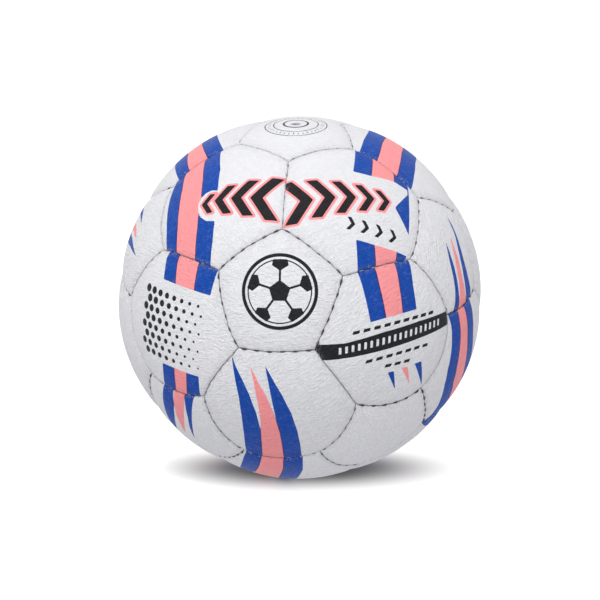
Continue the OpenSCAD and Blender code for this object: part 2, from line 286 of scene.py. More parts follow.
P["hexagon_panel_07"] = {"blue": [band(_e[0], _e[1]), band(_e[2], _e[3]), band(_f[0], _f[1]), band(_f[2], _f[3])],
                         "coral": [band(_e[1], _e[2]), band(_f[1], _f[2])]}
P["pentagon_panel_11"] = {
    "blue": flames([(-0.5, 32), (7.0, 31), (4.4, 21.6), (1.2, 14.3), (-3.9, 6.7), (-10.4, -1.2), (-18.5, -9.5),
                    (-16.8, -2.2), (-11.2, 8.3), (-6.6, 16.7), (-2.4, 23.5)],
                   [(14.4, 31), (21.4, 31), (18.6, 20.6), (14.7, 15.2), (10.4, 8.5), (4.7, -0.2), (-1.9, -9.6),
                    (2.6, -0.4), (7.2, 8.0), (10.4, 16.3), (12.0, 20.6)]),
    "coral": flames([(7.0, 31), (14.4, 31), (12.0, 20.6), (9.0, 14.6), (4.2, 7.4), (-1.0, 0.6), (-6.6, -5.9),
                     (-3.6, 1.6), (-1.2, 8.4), (1.9, 15.4), (5.0, 21.6)])}
# right band
_e = [[(-44.7, 13.0), (-31.5, 16.4), (-19.3, 19.3), (11.3, 23.6), (45.3, 28.4)],
      [(-44.7, 2.8), (-27.9, 7.9), (-12.0, 12.0), (7.2, 14.5), (45.3, 20.9)],
      [(-44.7, -10.5), (-23.0, -2.5), (-7.5, 2.1), (13.7, 5.5), (45.3, 11.9)],
      [(-44.7, -20.5), (-26.6, -13.0), (-19.4, -10.2), (-6.0, -5.7), (14.4, -2.0), (45.3, 4.5)]]
P["hexagon_panel_03"] = {"blue": [band(_e[0], _e[1]), band(_e[2], _e[3])], "coral": [band(_e[1], _e[2])]}
_e = [[(12.5, 40), (10.6, 33.4), (3.7, 17.8), (-0.6, 0), (-3.6, -18.2), (-4.3, -29), (-4.9, -42)],
      [(22, 38), (18.3, 29.0), (11.8, 14.5), (7.4, -2), (4.8, -19.6), (4.7, -31.3), (4.4, -42)],
      [(33, 32), (27.3, 20.5), (23.0, 9.8), (19.2, -7), (16.9, -22.2), (15.6, -30), (14.4, -42)],
      [(38, 24), (32.6, 12), (29.0, 1.0), (25.6, -12), (23.2, -21), (20.6, -31), (19, -40)]]
P["hexagon_panel_01"] = {"blue": [band(_e[0], _e[1]), band(_e[2], _e[3])], "coral": [band(_e[1], _e[2])]}
_e = [[(-17.2, 40), (-15.8, 29.4), (-14.6, 24.0), (-11.4, 7.2)], [(-7.6, 40), (-7.2, 31.3), (-6.4, 24.0), (-3.9, 8.8)],
      [(3.4, 40), (4.1, 30), (4.3, 22), (5.1, 10.3)], [(12.0, 40), (12.2, 31.7), (11.9, 22), (12.8, 11.4)]]
P["hexagon_panel_06"] = {
    "blue": [band(_e[0], _e[1]), band(_e[2], _e[3]), [(-0.7, -17.2), (2.5, -16.7), (5.8, -27.2)],
             [(14.0, -14.4), (18.0, -13.8), (22.7, -27.9)]],
    "coral": [band(_e[1], _e[2]), [(6.6, -15.7), (10.0, -15.3), (13.6, -25.3)]],
    "black": [[(-45, -3.5), (-34.5, -3.1), (-23.2, -2.2), (-20.9, -1.6), (-4.5, 2.5), (14.3, 5.8), (33.3, 7.9),
               (45, 8.7), (45, 1.9), (34.4, 1.2), (14.7, -2.2), (-4.0, -5.8), (-20.4, -8.9), (-32.0, -10.7),
               (-45, -11.9)]]}
# tapers under the middle, and the band they become below
P["hexagon_panel_08"] = {
    "blue": flames([(-20.8, 28.1), (-19.2, 18.0), (-17.5, 7.2), (-17.0, -4.5), (-17.3, -16.4), (-19.4, -42),
                    (-11.8, -42), (-9.6, -22.9), (-8.7, -10.9), (-9.7, -0.9), (-12.4, 9.3), (-15.3, 16.4),
                    (-18.5, 22.6)],
                   [(-4.4, 24.5), (-3.0, 15.0), (-1.7, 4.4), (-0.7, -4.4), (0.3, -11.9), (0.5, -21.8), (-0.4, -42),
                    (8.2, -42), (8.8, -21.9), (8.3, -11.1), (6.4, -0.1), (2.8, 10.0), (-1.1, 18.0)]),
    "coral": flames([(-11.4, 23.9), (-9.8, 14.6), (-8.5, 4.1), (-8.1, -5.6), (-9.6, -22.9), (-11.8, -42), (-0.4, -42),
                     (0.5, -21.8), (0.1, -10.1), (-1.8, 0.8), (-4.4, 9.2), (-8.0, 16.4)])}
P["hexagon_panel_17"] = {
    "blue": flames([(-12.2, 42), (-14.7, 32.3), (-17.3, 25.0), (-22.6, 6.1), (-25.4, -7), (-25.8, -20), (-20.4, -8),
                    (-15.6, 3.9), (-10.5, 19.4), (-7.5, 30.4), (-5.0, 42)],
                   [(4.6, 42), (3.1, 29.2), (1.2, 18.5), (-4.1, 0.7), (-7.8, -12), (-9.4, -27), (-1.6, -14),
                    (3.9, -1.8), (10.1, 16.4), (12.3, 29), (13.6, 42)]),
    "coral": flames([(-5.0, 42), (-7.5, 30.4), (-10.5, 19.4), (-15.6, 3.9), (-18.6, -9), (-18.8, -24), (-11.0, -12),
                     (-4.1, 0.7), (1.2, 18.5), (3.1, 29.2), (4.6, 42)])}
# tapers at the right edge, and the band below them
P["pentagon_panel_03"] = {
    "blue": flames([(-4.2, 5.2), (-4.9, 1.0), (-5.3, -4.0), (-5.0, -9.0), (-4.5, -13.2), (-4.0, -18.0), (-4.1, -24.0),
                    (-5.6, -33), (-0.6, -33), (-0.3, -25.8), (-0.3, -22.0), (-1.0, -17.5), (-1.5, -13.0),
                    (-2.2, -8.0), (-3.1, -3.2), (-3.6, 0.8)],
                   [(7.3, 16.8), (6.9, 13.5), (7.0, 10.1), (6.9, 6.7), (6.3, 3.3), (5.5, -0.1), (5.2, -4.1),
                    (5.4, -8.1), (5.7, -12.0), (6.5, -16.4), (7.3, -20.2), (8.0, -24.5), (9.2, -33),
                    (16.6, -33), (15.2, -24.0), (14.3, -20.3), (12.5, -16.6), (11.0, -12.9), (9.8, -8.8),
                    (9.0, -5.0), (8.7, -0.8), (8.6, 3.3), (8.6, 7.4), (8.5, 11.2), (7.8, 14.8)]),
    "coral": flames([(1.2, 6.4), (0.5, 2.8), (0.0, -0.8), (0.0, -4.4), (-0.1, -8.3), (0.0, -11.8), (0.3, -15.8),
                     (0.4, -19.7), (0.0, -23.5), (-0.6, -27.1), (-0.6, -33), (9.2, -33), (8.0, -24.5),
                     (6.9, -21.5), (5.8, -18.3), (4.7, -15.0), (3.9, -11.5), (3.5, -8.3), (3.1, -4.7),
                     (2.5, -1.8), (2.2, 1.4), (1.9, 4.3)])}
P["hexagon_panel_10"] = {
    "blue": [[(-30.6, 38.8), (-27.0, 27.2), (-23.6, 18.2), (-21.6, 9.8), (-19.6, -2.4), (-16.5, -10.6),
              (-11.7, -18.9), (-8.7, -24.8), (-7.9, -29.5), (-8.6, -35), (-9, -42), (16, -40), (10, -30), (1.8, -20.2),
              (-7.2, -10.4), (-11.3, -1.0), (-13.0, 5.1), (-15.3, 15.4), (-17.4, 22.4), (-21.8, 38.8)],
             [(-14.9, 38.8), (-11.7, 28.2), (-8.9, 20.8), (-5.9, 11.0), (0.1, -1.4), (8.9, -14.2), (25.7, -31.2),
              (33.7, -23.2), (16.7, -8.2), (7.7, 3.0), (2.1, 12.0), (-1.5, 22.8), (-3.9, 29.6), (-6.7, 38.8)]],
    "coral": [[(-21.8, 38.8), (-17.4, 22.4), (-15.3, 15.4), (-13.0, 5.1), (-11.3, -1.0), (-7.2, -10.4), (1.8, -20.2),
               (10, -30), (16, -40), (25.7, -31.2), (8.9, -14.2), (0.1, -1.4), (-5.9, 11.0), (-8.9, 20.8),
               (-11.7, 28.2), (-14.9, 38.8)]]}
# tapers at the left edge
P["pentagon_panel_06"] = {
    "blue": flames([(-33.8, 13.5), (-19.8, 12.5), (-7.8, 10.5), (2.6, 6.2), (-7.0, 12.7), (-19.8, 17.5), (-33.8, 21.3)],
                   [(-33.8, -3.5), (-17.8, -3), (-2.9, -4.7), (10.2, -8.3), (-4.3, -0.6), (-19.8, 2.5), (-33.8, 3.7)]),
    "coral": flames([(-33.8, 3.7), (-19.8, 2.5), (-6.8, 2.6), (4.2, -1.0), (-4.1, 4.6), (-17.8, 8.1), (-33.8, 13.5)])}

P["hexagon_panel_16"] = {
    "blue": flames([(-17.0, 11.6), (-9, 12.8), (2, 13.6), (45, 15.0), (45, 8.0), (8, 6.8), (-2, 7.6), (-10, 9.4)],
                   [(-15.0, -5.2), (-7, -2.9), (4, -2.6), (45, -3.6), (45, -12.2), (12, -11.4), (2, -10.4),
                    (-7, -7.9)],
                   [(-37, 23), (-37, 19.5), (-31, 17.2), (-26, 16.8), (-14, 18.0), (-3, 18.6), (-9, 22.8), (-14, 29.2),
                    (-17, 34)],
                   [(-6, 41), (-4, 34.5), (-1, 31), (6, 28.6), (15, 27.2), (8, 31.6), (2.5, 37.5), (1, 42)]),
    "coral": flames([(-11.0, 3.6), (-3, 5.7), (8, 6.8), (45, 8.0), (45, -3.6), (12, -2.9), (3, -1.0), (-4, 1.1)],
                    [(-17, 34), (-14, 29.2), (-9, 23.6), (-2, 22.4), (8, 22.6), (1, 28.6), (-4, 34.5), (-6, 41)])}
P["hexagon_panel_04"] = {
    "blue": flames([(-12.2, -42), (-14.7, -32.3), (-17.3, -25.0), (-21.0, -10), (-23.0, 2), (-23.5, 10), (-19.5, 0),
                    (-13.0, -12), (-9.0, -24), (-7.5, -30.4), (-5.0, -42)],
                   [(4.6, -42), (3.1, -29.2), (1.2, -18.5), (-3.0, -6), (-6.0, 5), (-8.0, 15), (-2.0, 5),
                    (4.0, -6), (9.0, -18), (12.3, -29), (13.6, -42)]),
    "coral": flames([(-5.0, -42), (-7.5, -30.4), (-9.0, -24), (-13.0, -12), (-15.5, -2), (-16.5, 11), (-10.5, 2),
                     (-3.0, -6), (1.2, -18.5), (3.1, -29.2), (4.6, -42)])}
P["hexagon_panel_20"] = {
    "blue": flames([(27.0, -23.2), (18, -22.6), (8, -22.2), (-45, -16.0), (-45, -6.8), (2, -14.4), (12, -17.4),
                    (20, -20.5)],
                   [(25.0, -5.4), (16, -4.6), (6, -4.2), (-45, 5.4), (-45, 13.8), (0, 4.0), (10, 0.4), (18, -2.8)]),
    "coral": flames([(21.5, -14.6), (12, -15.0), (2, -14.4), (-45, -6.8), (-45, 5.4), (2, -3.6), (10, -7.0),
                     (16, -11.2)])}
P["pentagon_panel_02"] = {}
P["pentagon_panel_01"] = {}
# where the bands break off, white, for the row of chevrons
CLEAR = {
    "hexagon_panel_01": [(-20, 24), (0.3, 20.3), (3.5, 17.7), (11.9, 15.2), (23.9, 13.4), (30.9, 9.7), (29.8, 6.5),
                         (19.6, -2.1), (24.9, -16.0), (27.5, -19.0), (26.4, -26.8), (16.2, -24.0), (5.2, -21.1),
                         (-3.5, -18.2), (-20, -13)],
    "hexagon_panel_02": [(12, 2.2), (0.8, 2.7), (-2.2, 3.5), (-4.9, 3.4), (-7.6, 1.8), (-9.2, -1.0), (-9.5, -4.4),
                         (-8.2, -7.9), (-5.6, -10.8), (-2.0, -12.4), (1.3, -12.2), (5.6, -12.0), (12, -12)]}
FINE = {"pentagon_panel_01": (0.4, 96), "pentagon_panel_02": (0.4, 96), "pentagon_panel_09": (0.4, 96),
        "hexagon_panel_02": (0.7, 84), "hexagon_panel_01": (0.7, 84), "hexagon_panel_07": (0.5, 84),
        "hexagon_panel_06": (0.5, 84), "hexagon_panel_12": (0.5, 84), "hexagon_panel_14": (0.5, 84),
        "hexagon_panel_18": (0.7, 84), "hexagon_panel_19": (0.7, 84)}

LIE = {"pentagon_panel_02": 0.0, "hexagon_panel_06": -35.0, "hexagon_panel_08": -30.0, "hexagon_panel_01": -20.0,
       "hexagon_panel_02": 25.0, "hexagon_panel_07": 10.0}
BY_NAME = {p[0]: p for p in PANELS}


def front_of(name):
    """The panel whose print a panel carries, and 1 or -1 where that is the opposite one."""
    if name in P:
        return name, 1.0
    n = BY_NAME[name][2]
    for other in P:
        if other != "pentagon_panel_01" and float(BY_NAME[other][2] @ n) < -0.99:
            return other, -1.0
    return None, 1.0


def flat(n, p):
    """Millimetres right and up of a panel's centre, for directions p."""
    x, y = axes_of(n)
    cos = np.clip(p @ n, -1, 1)
    ang = np.arccos(cos)
    t = p - cos[:, None] * n
    size = np.maximum(np.linalg.norm(t, axis=1), 1e-12)
    return np.stack([t @ x, t @ y], 1) * (R * ang / size)[:, None]


def sd_poly(q, poly):
    """Distance in mm to an outline, above 0 inside it."""
    v = np.asarray(poly, float)
    best = np.full(len(q), 1e9)
    inside = np.zeros(len(q), bool)
    for i in range(len(v)):
        a, b = v[i], v[(i + 1) % len(v)]
        e, w = b - a, q - a
        h = np.clip((w @ e) / (e @ e), 0, 1)
        best = np.minimum(best, ((w - h[:, None] * e) ** 2).sum(1))
        cross = (a[1] > q[:, 1]) != (b[1] > q[:, 1])
        with np.errstate(divide="ignore", invalid="ignore"):
            inside ^= cross & (q[:, 0] < (b[0] - a[0]) * (q[:, 1] - a[1]) / (b[1] - a[1]) + a[0])
    return np.where(inside, 1, -1) * np.sqrt(best)


def disc(q, x, y, r):
    return r - np.hypot(q[:, 0] - x, q[:, 1] - y)


def ring_line(q, x, y, r, width):
    return width / 2 - np.abs(np.hypot(q[:, 0] - x, q[:, 1] - y) - r)


def stroke(q, a, b, width):
    """A straight line with round ends."""
    a, b = np.asarray(a, float), np.asarray(b, float)
    e, w = b - a, q - a
    h = np.clip((w @ e) / (e @ e), 0, 1)
    return width / 2 - np.linalg.norm(w - h[:, None] * e, axis=1)


def turned(points, deg, x=0.0, y=0.0):
    c, s = math.cos(math.radians(deg)), math.sin(math.radians(deg))
    return [(x + c * u - s * v, y + s * u + c * v) for u, v in points]


def chevron(x, y, height, thick, way, deg=0.0):
    """An arrow head without a shaft, its tip towards way (1 right, -1 left)."""
    reach = 0.36 * height
    pts = [(way * (reach + thick) / 2, 0), (way * (thick - reach) / 2, height / 2),
           (-way * (reach + thick) / 2, height / 2), (way * (reach - thick) / 2, 0),
           (-way * (reach + thick) / 2, -height / 2), (way * (thick - reach) / 2, -height / 2)]
    return turned(pts, deg, x, y)


def marks_of(name, q):
    """Plain motifs: (colour, or bare for a gap in the black, and signed distance) at the points q of a panel."""
    out = []
    if name in ("hexagon_panel_02", "hexagon_panel_01"):
        way = -1.0 if name == "hexagon_panel_02" else 1.0
        for x, y, height, thick in ((22.8, 3.2, 23.0, 5.8), (12.6, 1.2, 19.0, 5.0), (3.5, -1.1, 15.0, 4.2),
                                    (-4.2, -3.8, 10.0, 3.0)) \
                if way < 0 else ((-26.2, 4.4, 23.0, 5.8), (-14.9, 4.0, 20.0, 5.0), (-4.4, 3.2, 17.0, 4.3),
                                 (5.3, 2.2, 14.0, 3.7), (14.0, 1.0, 11.0, 3.1)):
            d = sd_poly(q, chevron(x, y, height, thick, way, 12.0 if way < 0 else -6.0))
            out += [("black", d), ("coral", d + 1.1)]
        if way > 0:
            for x, y in ((-4.6, -10.4), (1.7, -12.6), (8.3, -14.7), (15.2, -16.9)):
                out.append(("black", sd_poly(q, chevron(x, y, 6.2, 1.9, way, -17.0))))
    if name == "pentagon_panel_02":
        cx, cy, r = 0.8, 1.4, 16.4
        out.append(("black", ring_line(q, cx, cy, r, 1.6)))
        out.append(("black", ring_line(q, cx, cy, r - 2.2, 0.6)))
        five = [(math.cos(math.radians(90 + 72 * i)), math.sin(math.radians(90 + 72 * i))) for i in range(5)]
        out.append(("black", sd_poly(q, [(cx + 5.1 * u, cy + 5.1 * v) for u, v in five])))
        for i, (u, v) in enumerate(five):
            out.append(("black", stroke(q, (cx + 5.0 * u, cy + 5.0 * v), (cx + 9.6 * u, cy + 9.6 * v), 1.0)))
            pts = [(9.2, 0.0), (11.7, 3.8), (14.4, 3.1), (14.4, -3.1), (11.7, -3.8)]
            out.append(("black", sd_poly(q, turned(pts, 90 + 72 * i, cx, cy))))
    if name == "pentagon_panel_01":
        out.append(("black", ring_line(q, 0, 0, 5.7, 0.95)))
        out.append(("black", ring_line(q, 0, 0, 10.5, 0.5)))
        out.append(("black", ring_line(q, 0, 0, 14.6, 0.5)))
        for i in range(36):
            u, v = math.cos(math.radians(10 * i)), math.sin(math.radians(10 * i))
            lo = 12.3 if i % 3 else 11.7
            out.append(("black", stroke(q, (lo * u, lo * v), (13.3 * u, 13.3 * v), 0.4)))
    if name == "hexagon_panel_07":
        for row in range(8):
            for col in range(8):
                u, v = (col - 3.5) * 4.7 + (row % 2) * 2.35 - 1.0, (3.5 - row) * 4.2
                size = 1.9 - 0.17 * col - 0.03 * row
                (x, y), = turned([(u, v)], -10.0, -1.6, -1.2)
                out.append(("black", disc(q, x, y, size)))
    if name == "hexagon_panel_06":
        for i in range(19):
            x = -25.0 + 2.9 * i
            y = -1.1 + 0.187 * (x + 1.5) - 0.00063 * (x + 1.5) ** 2
            out.append(("bare", sd_poly(q, turned([(-0.9, -1.6), (0.35, -1.6), (0.9, 1.6), (-0.35, 1.6)],
                                                  10.5 - 0.1 * x, x, y))))
        # rows: height, slope and bend at a middle x, first, last
        for top, slope, bend, mid, x0, x1 in ((5.8, 0.164, -0.00156, -1.7, -18, 24), (-8.3, 0.168, -0.0021, 2.1, -11, 20),
                                              (-13.2, 0.124, 0.0, 2.4, -1, 12)):
            for x in range(x0, x1, 5):
                y = top + slope * (x - mid) + bend * (x - mid) ** 2
                out.append(("black", sd_poly(q, turned([(-2.0, -0.75), (1.3, -0.75), (2.0, 0.75), (-1.3, 0.75)],
                                                       math.degrees(slope + 2 * bend * (x - mid)), x, y))))
    return out


def ink_of(name, p):
    """Signed distances to the blue, coral and black ink at directions p on a panel."""
    out = {c: np.full(len(p), -4.0) for c in ("blue", "coral", "black")}
    front, sign = front_of(name)
    if front:
        q = flat(VALVE if front == "pentagon_panel_01" else BY_NAME[front][2], p * sign)
        for colour, shapes in P[front].items():
            for shape in shapes:
                out[colour] = np.maximum(out[colour], sd_poly(q, shape))
        if front in CLEAR:
            gap = -sd_poly(q, CLEAR[front])
            out["blue"], out["coral"] = np.minimum(out["blue"], gap), np.minimum(out["coral"], gap)
        for colour, d in marks_of(front, q):
            if colour == "bare":
                out["black"] = np.minimum(out["black"], -d)
                continue
            out[colour] = np.maximum(out[colour], d)
            if colour == "coral":
                out["blue"] = np.minimum(out["blue"], -d)
    return {c: np.clip(v, -4, 4) for c, v in out.items()}


# ---------------------------------------------------------------- mesh helpers
def make_object(name, verts, faces, material, attrs=None, grain=None, smooth_all=True):
    """verts in millimetres; faces a list of index arrays, one array of quads or of triangles each."""
    me = bpy.data.meshes.new(name)
    verts = np.asarray(verts, float) * MM
    me.vertices.add(len(verts))
    me.vertices.foreach_set("co", verts.astype(np.float32).ravel())
    loops = np.concatenate([f.ravel() for f in faces]).astype(np.int32)
    sizes = np.concatenate([np.full(len(f), f.shape[1]) for f in faces])
    me.loops.add(len(loops))
    me.loops.foreach_set("vertex_index", loops)
    me.polygons.add(len(sizes))
    me.polygons.foreach_set("loop_start", np.concatenate([[0], np.cumsum(sizes)[:-1]]).astype(np.int32))
    me.update(calc_edges=True)
    me.validate()
    me.polygons.foreach_set("use_smooth", np.full(len(me.polygons), smooth_all))
    for key, values in (attrs or {}).items():
        me.attributes.new(key, "FLOAT", "POINT").data.foreach_set("value", np.asarray(values, np.float32))
    if grain is not None:
        data = me.attributes.new("grain", "FLOAT_VECTOR", "POINT").data
        data.foreach_set("vector", np.asarray(grain, np.float32).ravel())
    me.materials.append(material)
    ob = bpy.data.objects.new(name, me)
    bpy.context.scene.collection.objects.link(ob)
    return ob


def ring_quads(prev, following, count):
    j = np.arange(count)
    k = (j + 1) % count
    return np.stack([prev + j, prev + k, following + k, following + j], 1)


def hills(p, seed, waves, low, high, height):
    """A smooth uneven surface made of waves in random directions, at points p in mm."""
    g = np.random.default_rng(seed)
    out = np.zeros(len(p))
    for _ in range(waves):
        d = unit(g.normal(size=3))
        out += np.sin(p @ d * (2 * math.pi / g.uniform(low, high)) + g.uniform(0, 6.3))
    return out * height / math.sqrt(waves)


EDGE_ROWS = [0.05, 0.14, 0.25, 0.38, 0.54, 0.73, 0.96, 1.24, 1.6, 2.05, 2.6, 3.2]


def dome(kind, n, p, depth=0.0):
    """Radius of a panel's crowned surface along directions p."""
    c = SHIFT[kind]
    cos = p @ n
    return c * cos + np.sqrt((R - c - depth) ** 2 - c * c * (1 - cos * cos))


def panel(name, kind, n, ring, material, row=1.2, per_seam=60, hole=0.0):
    """One leather panel as a closed skin, with its edge turned down into the seams."""
    m = len(ring)
    eye = VALVE if hole else n
    count = m * per_seam
    tips, jogs, pulls, sides, ridge, seam_grime_and_shade = [], [], [], [], [], []
    for i in range(m):
        (ka, va), (kb, vb) = ring[i], ring[(i + 1) % m]
        key = tuple(sorted((ka, kb)))
        s = SEAMS[key]
        t = np.arange(per_seam) / per_seam
        t = t if ka < kb else 1 - t
        line, win = seam_line(s, t)
        seam_grime_and_shade.append(grime(key, t))
        tips.append(line)
        jogs.append(jog(s, t, win))
        pulls.append(pull(s, t) * smooth(np.minimum(t, 1 - t), 0.0, 0.03))
        sides.append(np.repeat(s["side"][None], per_seam, 0))
        ph = s["ph"] * 6.28 + (3.0 if float(n @ s["side"]) > 0 else 0.0)
        ridge.append(sum(np.sin(2 * math.pi * f * t + ph[q]) for q, f in enumerate((7.3, 11.1, 16.7, 22.9))) * win)
    tips, sides = np.concatenate(tips), np.concatenate(sides)
    jogs, pulls, ridge = np.concatenate(jogs), np.concatenate(pulls), np.concatenate(ridge)
    # the seams' grime and painted shade, which also deepens the groove and the pull of the stitches
    seam_grime_and_shade = np.concatenate(seam_grime_and_shade)
    pulls = pulls * (0.35 + 0.65 * seam_grime_and_shade)
    reach = np.arccos(np.clip(tips @ eye, -1, 1))
    tang = unit(tips - (tips @ eye)[:, None] * eye)
    apo = ALPHA[kind] * R - hole
    knots = np.array([v for _, v in ring])

    def along(d):
        """Directions of the row at d mm in from the seams."""
        u = max(0.0, 1 - d / apo)
        ang = hole / R + (reach - hole / R) * u
        p = np.cos(ang)[:, None] * eye + np.sin(ang)[:, None] * tang
        return unit(p + (jogs * math.exp(-d / 1.1) / R)[:, None] * sides)

    rows, attr_d, attr_in = [], [], []

    def add(p, r, d, inside):
        rows.append(p * r[:, None])
        attr_d.append(np.full(count, d))
        attr_in.append(np.full(count, inside))

    def drop(d, p):
        corner = R * np.arccos(np.clip((p @ knots.T).max(1), -1, 1))
        width = 0.72 * (1 + 0.45 * pulls)
        e = (0.22 + 0.48 * seam_grime_and_shade) * np.clip(1 - d / width, 0, 1) ** 2.5
        e += 0.45 * math.exp(-d / 1.5)
        e += 0.30 * math.exp(-d / 4.2)
        e += 0.20 * pulls * math.exp(-(d / 1.2) ** 2)
        e += 0.05 * pulls * math.exp(-d / 3.0)
        e += 0.32 * np.exp(-(corner / 2.3) ** 2)
        e -= 0.028 * ridge * math.exp(-d / 2.6) * (1 - math.exp(-d / 0.5))
        return e

    # the back of the skin, from its middle outwards, then the turned-down edge
    inner = [d for d in (25.0, 19.0, 13.0, 8.0, 4.0) if d < apo - 1.5]
    if hole:
        inner = [apo] + inner
    for d in inner:
        p = along(d)
        add(p, dome(kind, n, p, SKIN), 9.0, 1.0)
    p = along(1.27)
    add(p, dome(kind, n, p, SKIN), 9.0, 1.0)
    p = along(1.25)
    add(p, np.full(count, CARCASS + 0.05), 9.0, 1.0)
    p = along(0.05)
    add(p, np.full(count, CARCASS + 0.05), 0.0, 0.5)
    # the face of the panel, from the seams to its middle
    faces_d = list(EDGE_ROWS)
    while faces_d[-1] + row * 1.4 < apo - (0.9 if hole else 0.3):
        faces_d.append(faces_d[-1] + row)
    if hole:
        faces_d += [apo - 0.8, apo - 0.5, apo - 0.25, apo - 0.1, apo]
    for d in faces_d:
        p = along(d)
        e = drop(d, p)
        if hole:
            e = e + 0.45 * max(0.0, 1 - (apo - d) / 0.8) ** 2
        add(p, dome(kind, n, p) - e, d, 0.0)
    verts = np.concatenate(rows)
    starts = np.arange(len(rows)) * count
    quads = [ring_quads(starts[i], starts[i + 1], count) for i in range(len(rows) - 1)]
    d_all, in_all = np.concatenate(attr_d), np.concatenate(attr_in)
    faces = []
    if hole:
        quads.append(ring_quads(starts[-1], starts[0], count))
    else:
        j = np.arange(count)
        k = (j + 1) % count
        verts = np.concatenate([verts, [n * R, n * (R - SKIN)]])
        top, back = len(verts) - 2, len(verts) - 1
        faces.append(np.stack([starts[-1] + j, starts[-1] + k, np.full(count, top)], 1))
        faces.append(np.stack([starts[0] + k, starts[0] + j, np.full(count, back)], 1))
        d_all = np.concatenate([d_all, [apo, 9.0]])
        in_all = np.concatenate([in_all, [0.0, 1.0]])
    faces.insert(0, np.concatenate(quads))
    # hand-made unevenness, over the whole ball so that neighbours agree
    out = in_all < 0.25
    p_mm = verts[out]
    up = hills(p_mm, 3, 14, 26, 60, 0.10) + hills(p_mm, 5, 18, 7, 13, 0.028) + hills(p_mm, 9, 22, 2.6, 4.6, 0.008)
    fade = smooth(d_all[out], 0.2, 2.5)
    verts[out] += unit(p_mm) * (np.minimum(up, 0.09) * fade - 0.04)[:, None]
    p_dir = unit(verts)
    ink = ink_of(name, p_dir)
    back = in_all > 0.75
    rest = [0.0] * (len(verts) - len(rows) * count)
    # the seams' grime and painted shade go to the leather's colour as an attribute
    attrs = {"seam_mm": d_all, "inside": in_all, "grime": np.concatenate([np.tile(seam_grime_and_shade, len(rows)), rest]),
             "relief": 0.9 - 0.42 * smooth(p_dir[:, 2], 0.35, 0.85)}     # the grain is flatter towards the top, and painted shade greys the white there
    attrs["ripple"] = RIPPLE.get(name, 1.0) * attrs["relief"]
    for c in ink:
        ink[c][back] = -4.0
        attrs["ink_" + c] = ink[c]
    # each panel is cut from the sheet at its own angle and place
    lie = math.radians(LIE[name]) if name in LIE else \
        np.random.default_rng(100 + len(bpy.data.objects)).uniform(0, 2 * math.pi)
    q = flat(n, p_dir)
    grain = np.stack([q[:, 0] * math.cos(lie) - q[:, 1] * math.sin(lie) + 100 * lie,
                      q[:, 0] * math.sin(lie) + q[:, 1] * math.cos(lie), np.linalg.norm(verts, axis=1) - R], 1)
    ob = make_object(name + "_skin", verts, faces, material, attrs, grain)
    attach(ob, "ball")
    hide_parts(name)
    return ob


def backing(kind, n, ring, hole=0.0, per_seam=16):
    """The cloth pad behind one panel: vertices in mm and faces."""
    m = len(ring)
    count = m * per_seam
    tips = []
    for i in range(m):
        (ka, va), (kb, vb) = ring[i], ring[(i + 1) % m]
        s = SEAMS[tuple(sorted((ka, kb)))]
        t = np.arange(per_seam) / per_seam
        tips.append(seam_line(s, t if ka < kb else 1 - t)[0])
    tips = np.concatenate(tips)
    eye = VALVE if hole else n
    reach = np.arccos(np.clip(tips @ eye, -1, 1))
    tang = unit(tips - (tips @ eye)[:, None] * eye)
    apo = ALPHA[kind] * R - hole
    rows = []

    def along(d):
        ang = hole / R + (reach - hole / R) * max(0.0, 1 - d / apo)
        return np.cos(ang)[:, None] * eye + np.sin(ang)[:, None] * tang

    steps = [1.45, 1.7, 3.0, 6.0, 10.0, 15.0, 20.0, 25.0]
    steps = [d for d in steps if d < apo - 1.0] + ([apo] if hole else [])
    for d in reversed(steps):
        rows.append(along(d) * CARCASS)
    for d in steps:
        p = along(d)
        lower = 0.12 if d == steps[0] else 0.0
        rows.append(p * (dome(kind, n, p, SKIN + 0.1) - lower)[:, None])
    verts = np.concatenate(rows)
    starts = np.arange(len(rows)) * count
    quads = [ring_quads(starts[i], starts[i + 1], count) for i in range(len(rows) - 1)]
    tris = []
    if hole:
        quads.append(ring_quads(starts[-1], starts[0], count))
    else:
        j = np.arange(count)
        k = (j + 1) % count
        verts = np.concatenate([verts, [n * (R - SKIN - 0.1), n * CARCASS]])
        tris.append(np.stack([starts[-1] + j, starts[-1] + k, np.full(count, len(verts) - 2)], 1))
        tris.append(np.stack([starts[0] + k, starts[0] + j, np.full(count, len(verts) - 1)], 1))
    return verts, np.concatenate(quads), tris


def merge(parts):
    verts, quads, tris, at = [], [], [], 0
    for v, q, t in parts:
        verts.append(v)
        quads.append(q + at)
        tris += [f + at for f in t]
        at += len(v)
    faces = [np.concatenate(quads)] + ([np.concatenate(tris)] if tris else [])
    return np.concatenate(verts), faces


